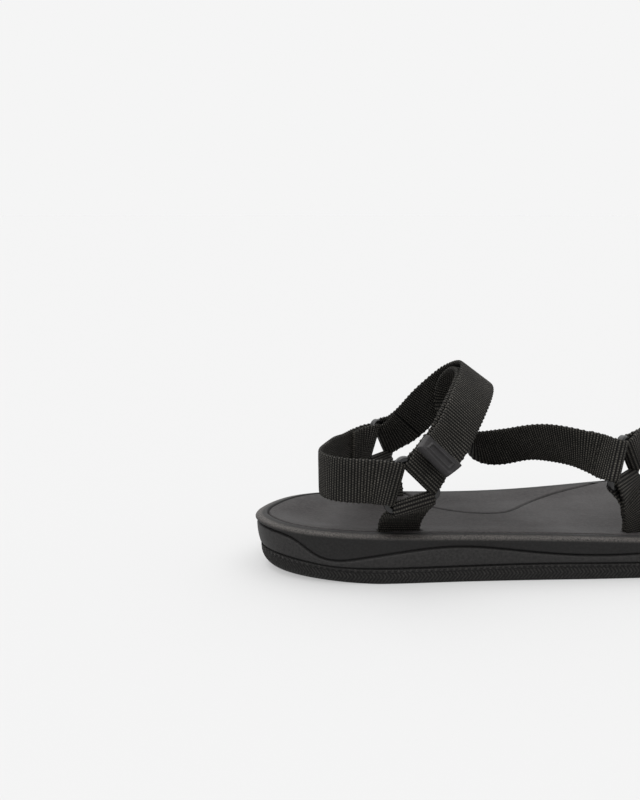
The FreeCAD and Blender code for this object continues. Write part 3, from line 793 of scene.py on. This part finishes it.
class Path:
    """Samples of a webbing's middle: place, across, outward normal and width."""

    def __init__(self):
        self.parts = []

    def add(self, points, across, normals, widths):
        widths = np.broadcast_to(widths, len(points))
        self.parts.append((points, across, normals, widths))

    def joined(self):
        points, across, normals, widths = (np.concatenate(part) for part in zip(*self.parts))
        kept = np.concatenate([[True], np.linalg.norm(np.diff(points, axis=0), axis=1) > 0.02])
        points, across, normals, widths = points[kept], across[kept], normals[kept], widths[kept]
        run = np.concatenate([[0], np.cumsum(np.linalg.norm(np.diff(points, axis=0), axis=1))])
        even = np.arange(0, run[-1], ROW_STEP)

        def resampled(values):
            return np.stack([np.interp(even, run, values[:, i]) for i in range(3)], 1)

        return even, resampled(points), unit(resampled(across)), unit(resampled(normals)), \
            np.interp(even, run, widths)


def fold(path, route, tail, at_start):
    """The webbing's tail under its own strap and its turn round the bar, in walking order."""
    steps = np.linspace(tail, 0, 40)
    distance = steps if at_start else route.length - steps
    point, along, across, normal = route.frame(distance)
    across = leaning(route, distance, across, at_start, not at_start)
    share = smooth(steps / 7)[:, None]
    drop = LOOP_RADIUS * (1 - share) + WEB_THICKNESS * 1.06 * share
    width = FOLD_WIDTH + (WEB_WIDTH - 0.6 - FOLD_WIDTH) * smooth(steps / 6)
    tail_part = (point - normal * drop, across, -normal, width)
    turn = np.linspace(math.pi, 0, 24)[1:-1, None]
    backward = unit(along[-1] - across[-1] * (along[-1] @ across[-1]))
    backward = -backward if at_start else backward
    radial = normal[-1] * np.cos(turn) + backward * np.sin(turn)
    turn_part = (point[-1] + radial * LOOP_RADIUS, np.repeat(across[-1:], len(turn), 0), radial,
                 np.full(len(turn), FOLD_WIDTH))
    if at_start:
        path.add(*tail_part)
        path.add(*turn_part)
    else:
        path.add(*(values[::-1] for values in turn_part))
        path.add(*(values[::-1] for values in tail_part))


def strap_path(route, start_fold=None, end_fold=None, start=0.0, end=None):
    """The whole walk of a strap: tail, turn, main run, turn, tail."""
    end = route.length if end is None else end
    path = Path()
    if start_fold:
        fold(path, route, start_fold, True)
    distance = np.linspace(start, end, int((end - start) / 0.8))
    point, _, across, normal = route.frame(distance)
    across = leaning(route, distance, across, start_fold, end_fold)
    rise = np.zeros(len(distance))
    pinch = np.ones(len(distance))
    if start_fold:
        rise += LOOP_RADIUS * (1 - smooth(distance / 8))
        pinch *= smooth(distance / 4)
    if end_fold:
        rise += LOOP_RADIUS * (1 - smooth((route.length - distance) / 8))
        pinch *= smooth((route.length - distance) / 4)
    path.add(point + normal * rise[:, None], across, normal,
             FOLD_WIDTH + (WEB_WIDTH - FOLD_WIDTH) * pinch)
    if end_fold:
        fold(path, route, end_fold, False)
    return path


def webbing(name, path, thickness=WEB_THICKNESS, material=None, ribbed=True, seed=1):
    """A band of webbing: ribs across it, rounded selvedges and slightly wandering edges."""
    run, points, across, normals, widths = path.joined()
    draw = np.random.default_rng(seed)
    wander = np.interp(run, np.linspace(0, run[-1], 14), draw.normal(0, 0.16, 14))
    face = np.linspace(-1, 1, 19)
    corner = np.linspace(90, -90, 5)[1:-1]
    rib = np.sqrt(np.abs(np.sin(math.pi * run / RIB_PITCH))) if ribbed else np.zeros(len(run))
    lift = 0.3 * rib[:, None]
    half = thickness / 2 - (0.18 if ribbed else 0)
    scallop = 0.14 * np.sin(math.pi * run / RIB_PITCH) if ribbed else np.zeros(len(run))
    flat_half = (widths / 2 - half + scallop)[:, None]
    columns = []
    cloth = []

    def add(sideways, proud):
        columns.append(points + across * (sideways + wander[:, None]) + normals * proud)
        cloth.append(np.column_stack([run, sideways[:, 0], np.zeros(len(run))]))

    for share in face:
        add(flat_half * share, half + lift * (1 - 0.25 * share ** 8))
    for angle in np.radians(corner):
        reach = half + lift * 0.9
        add(flat_half + reach * math.cos(angle), reach * math.sin(angle))
    for share in face[::-1]:
        add(flat_half * share, -half - lift * (1 - 0.25 * share ** 8))
    for angle in np.radians(corner[::-1]):
        reach = half + lift * 0.9
        add(-flat_half - reach * math.cos(angle), reach * math.sin(angle))
    made = Mesher()
    made.grid(np.stack(columns, 1)[:, ::-1], cloth=np.stack(cloth, 1)[:, ::-1], caps=True)
    return made.piece(name, material or WEBBING)


def straight_band(route, start, end, proud, width):
    """The walk of a tape sewn on one face of a strap."""
    path = Path()
    distance = np.linspace(start, end, int((end - start) / 0.8))
    point, _, across, normal = route.frame(distance)
    path.add(point + normal * proud, across, normal, width)
    return path


# ---------------------------------------------------------------- sewing
STITCH_PITCH = 2.5
STITCH_HALF_LENGTH = 0.97
STITCH_RADIUS = 0.27
STITCH_REACH = 6.1
ANCHOR_STITCH_REACH = 5.4
THREAD_LIFT = 0.95


def stitches(name, rows, seed=3):
    """Lock stitches along rows: short plump threads whose ends dip into the cloth."""
    made = Mesher()
    draw = np.random.default_rng(seed)
    ring = np.linspace(0, 2 * math.pi, 7)[:-1]
    for start, end, up in rows:
        run = end - start
        count = max(1, int(np.linalg.norm(run) // STITCH_PITCH))
        forward = unit(run)
        sideways = np.cross(up, forward)
        for index in range(count):
            middle = start + run * (index + 0.5) / count + sideways * draw.normal(0, 0.06)
            tube = []
            for share in np.linspace(-1, 1, 9):
                bend = math.sqrt(max(0.0, 1 - share * share))
                centre = middle + forward * share * STITCH_HALF_LENGTH + up * (0.32 * bend - 0.22)
                size = STITCH_RADIUS * (0.35 + 0.65 * bend ** 0.5)
                tube.append([centre + (sideways * math.cos(a) + up * math.sin(a)) * size
                             for a in ring])
            made.grid(tube, caps=True)
    return made.piece(name, THREAD)


def cross_rows(route, distances, reach=STITCH_REACH):
    """Rows of stitches across a strap's outer face, as start, end and upward direction."""
    rows = []
    for distance in distances:
        point, _, across, normal = (value[0] for value in route.frame(distance))
        lift = normal * THREAD_LIFT
        rows.append((point - across * reach + lift, point + across * reach + lift, normal))
    return rows


# ---------------------------------------------------------------- pull tab
GRIP_PLACE = 3.7
GRIP_HALF_WIDTH = 5.6
GRIP_HALF_LENGTH = 1.5
GRIP_HEIGHT = 0.5


def build_tab():
    """Moulded rubber end: rounded slab, flared tip and a raised oblong frame."""
    root_width = WEB_WIDTH + 2
    distances = np.linspace(TAB_START - 0.2, CLOSURE.length, 64)
    point, along, across, normal = CLOSURE.frame(distances)
    across = across + TAB_SKEW * along
    length = distances[-1] - distances[0]
    share = (distances - distances[0]) / length
    half = TAB_THICKNESS / 2
    end_round = np.sqrt(np.clip(1 - np.clip((np.abs(share - 0.5) - 0.42) / 0.08, 0, 1) ** 2, 0.02, 1))
    rows = []
    sides = np.linspace(-1, 1, 81)
    flare = 0.4 * smooth((share - 0.6) / 0.4)
    for i in range(len(distances)):
        x = sides * (root_width + (TAB_END_WIDTH - root_width) * share[i]) / 2
        edge = np.sqrt(np.clip(1 - np.clip((np.abs(sides) - 0.9) / 0.1, 0, 1) ** 2, 0.02, 1))
        thick = half * end_round[i] * edge
        long_way = np.abs(x) - GRIP_HALF_WIDTH
        short_way = np.abs(distances[i] - (TAB_START + GRIP_PLACE)) - GRIP_HALF_LENGTH
        box = np.maximum(long_way, short_way)
        frame_bump = GRIP_HEIGHT * np.exp(-(box / 0.42) ** 4) - 0.12 * smooth(-box / 0.5)
        top = thick * 0.9 + frame_bump * edge * end_round[i] + flare[i]
        bottom = -thick * 0.9 + flare[i] * 0.5
        upper = point[i] + across[i] * x[:, None] + normal[i] * top[:, None]
        lower = point[i] + across[i] * x[:, None] + normal[i] * bottom[:, None]
        rows.append(np.vstack([upper, lower[::-1]]))
    made = Mesher()
    made.grid(np.array(rows)[:, ::-1], caps=True)
    return made.piece("pull_tab_rubber", TAB_RUBBER)


# ---------------------------------------------------------------- assembly
def place(thing, body, node):
    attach(thing, body)
    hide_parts(node)


place(build_outsole(), "sole", "outsole")
place(build_midsole(), "sole", "midsole")
place(build_footbed(), "sole", "footbed")

TAIL = 13.0
place(webbing("heel_strap_web", strap_path(HEEL, TAIL, TAIL), seed=11),
      "heel_strap", "heel_strap")
place(webbing("diagonal_strap_web", strap_path(DIAGONAL, TAIL, TAIL), seed=12),
      "sole", "diagonal_strap")
place(webbing("closure_strap_web", strap_path(CLOSURE, TAIL, end=TAB_START + 3), seed=13),
      "closure", "closure_strap")
place(webbing("toe_strap_web", strap_path(TOE, TAIL), seed=14), "sole", "toe_strap")
for name, route, seed in (("anchor_lateral_rear", LATERAL_ANCHOR, 15),
                          ("anchor_medial_rear", MEDIAL_ANCHOR, 16),
                          ("anchor_lateral_front", FRONT_ANCHOR, 17)):
    band = webbing(name + "_web", strap_path(route, end_fold=route.length - 4), seed=seed)
    place(band, "sole", name)

HALF_WEB = WEB_THICKNESS / 2
TAPE_LIFT = HALF_WEB + PATCH_THICKNESS / 2 + 0.1
TAPE_WIDTH = WEB_WIDTH - 3
place(webbing("loop_tape", straight_band(DIAGONAL, 16, 66, TAPE_LIFT, TAPE_WIDTH),
              PATCH_THICKNESS, LOOPS, False, 21), "sole", "loop_patch")
place(webbing("hook_tape", straight_band(CLOSURE, TAB_START - 42, TAB_START - 1, -TAPE_LIFT,
                                         TAPE_WIDTH),
              PATCH_THICKNESS, HOOKS, False, 22), "closure", "hook_patch")
place(build_tab(), "pull_tab", "pull_tab")

HEEL_END = HEEL.length
DIAGONAL_END = DIAGONAL.length
place(stitches("heel_strap_threads",
               cross_rows(HEEL, (7.5, 10.5, HEEL_END - 10.5, HEEL_END - 7.5)), 31),
      "heel_strap", "heel_strap_stitching")
place(stitches("closure_strap_threads",
               cross_rows(CLOSURE, (9.5, 12)), 32),
      "closure", "closure_strap_stitching")
place(stitches("diagonal_strap_threads",
               cross_rows(DIAGONAL, (9, 11.5, DIAGONAL_END - 10.5, DIAGONAL_END - 8)), 33),
      "sole", "diagonal_strap_stitching")
place(stitches("toe_strap_threads", cross_rows(TOE, (8, 10.5)), 34),
      "sole", "toe_strap_stitching")
anchor_rows = []
for route in (LATERAL_ANCHOR, MEDIAL_ANCHOR, FRONT_ANCHOR):
    anchor_rows += cross_rows(route, (route.length - 7,), ANCHOR_STITCH_REACH)
place(stitches("anchor_threads", anchor_rows, 35), "sole", "anchor_stitching")

for ring in (LATERAL_REAR, MEDIAL_REAR, LATERAL_FRONT):
    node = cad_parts[ring.node]
    node.data.materials.clear()
    node.data.materials.append(PLASTIC)


# ---------------------------------------------------------------- stage
HORIZON = 0.913
FRONT_LIGHT = 0.42
BACK_LIGHT = 1.25
CEILING_LIGHT = 2.3
FLOOR_GREY = 0.289
FLOOR_GLOW = 0.4
FLOOR_REACH = 60000
FLOOR_DROP = 0.05
KEY_LIGHT = 0.9
KEY_SPREAD = 40
KEY_TILT = 38
KEY_ROLL = -22
CAMERA_PITCH = 9.79
CAMERA_YAW = 10.83
CAMERA_LENS = 48.8
CAMERA_PLACE = at(-53.9, -422.8, 141.5)


def build_floor():
    made = Mesher()
    sides = (-FLOOR_REACH, FLOOR_REACH)
    made.grid([[(x, y, -FLOOR_DROP) for x in sides] for y in sides], wrap=False)
    shader = Shader("studio_floor", (FLOOR_GREY,) * 3, 0.95, specular=0.0)
    shader.surface.inputs["Emission Color"].default_value = (1, 1, 1, 1)
    shader.surface.inputs["Emission Strength"].default_value = FLOOR_GLOW
    made.piece("studio_floor", shader.material)


def build_studio_air():
    """An even pale band all round the horizon, a bright ceiling towards the back and a dim front."""
    world = bpy.data.worlds.new("studio_air")
    world.use_nodes = True
    tree = world.node_tree
    background = tree.nodes["Background"]
    direction = tree.nodes.new("ShaderNodeTexCoord")
    split = tree.nodes.new("ShaderNodeSeparateXYZ")
    tree.links.new(direction.outputs["Generated"], split.inputs[0])

    def ramp(socket, low, high, start, end):
        made = tree.nodes.new("ShaderNodeMapRange")
        made.interpolation_type = "SMOOTHSTEP"
        for name, value in (("From Min", low), ("From Max", high), ("To Min", start),
                            ("To Max", end)):
            made.inputs[name].default_value = value
        tree.links.new(socket, made.inputs["Value"])
        return made.outputs["Result"]

    def mix(factor, first, second):
        made = tree.nodes.new("ShaderNodeMix")
        tree.links.new(factor, made.inputs["Factor"])
        for socket, value in ((made.inputs["A"], first), (made.inputs["B"], second)):
            if isinstance(value, float):
                socket.default_value = value
            else:
                tree.links.new(value, socket)
        return made.outputs["Result"]

    around = ramp(split.outputs["Y"], -0.75, 0.35, FRONT_LIGHT, BACK_LIGHT)
    above = ramp(split.outputs["Z"], 0.55, 0.9, 0.0, 1.0)
    sky = mix(above, around, CEILING_LIGHT)
    band = ramp(split.outputs["Z"], 0.2, 0.34, 0.0, 1.0)
    tree.links.new(mix(band, HORIZON, sky), background.inputs["Strength"])
    background.inputs["Color"].default_value = (1, 1, 1, 1)
    bpy.context.scene.world = world


def build_key_light():
    """A weak, broad lamp above and in front."""
    data = bpy.data.lights.new("key_light", "SUN")
    data.energy = KEY_LIGHT
    data.angle = math.radians(KEY_SPREAD)
    light = bpy.data.objects.new("key_light", data)
    light.rotation_euler = (math.radians(KEY_TILT), math.radians(KEY_ROLL), 0)
    bpy.context.scene.collection.objects.link(light)


def build_camera():
    data = bpy.data.cameras.new("product_camera")
    data.lens = CAMERA_LENS
    data.clip_start = 0.01
    camera = bpy.data.objects.new("product_camera", data)
    camera.location = (CAMERA_PLACE * MM).tolist()
    camera.rotation_euler = (math.radians(90 - CAMERA_PITCH), 0, math.radians(-CAMERA_YAW))
    bpy.context.scene.collection.objects.link(camera)
    bpy.context.scene.camera = camera


build_floor()
build_studio_air()
build_key_light()
build_camera()
bpy.context.scene.view_settings.view_transform = "Standard"
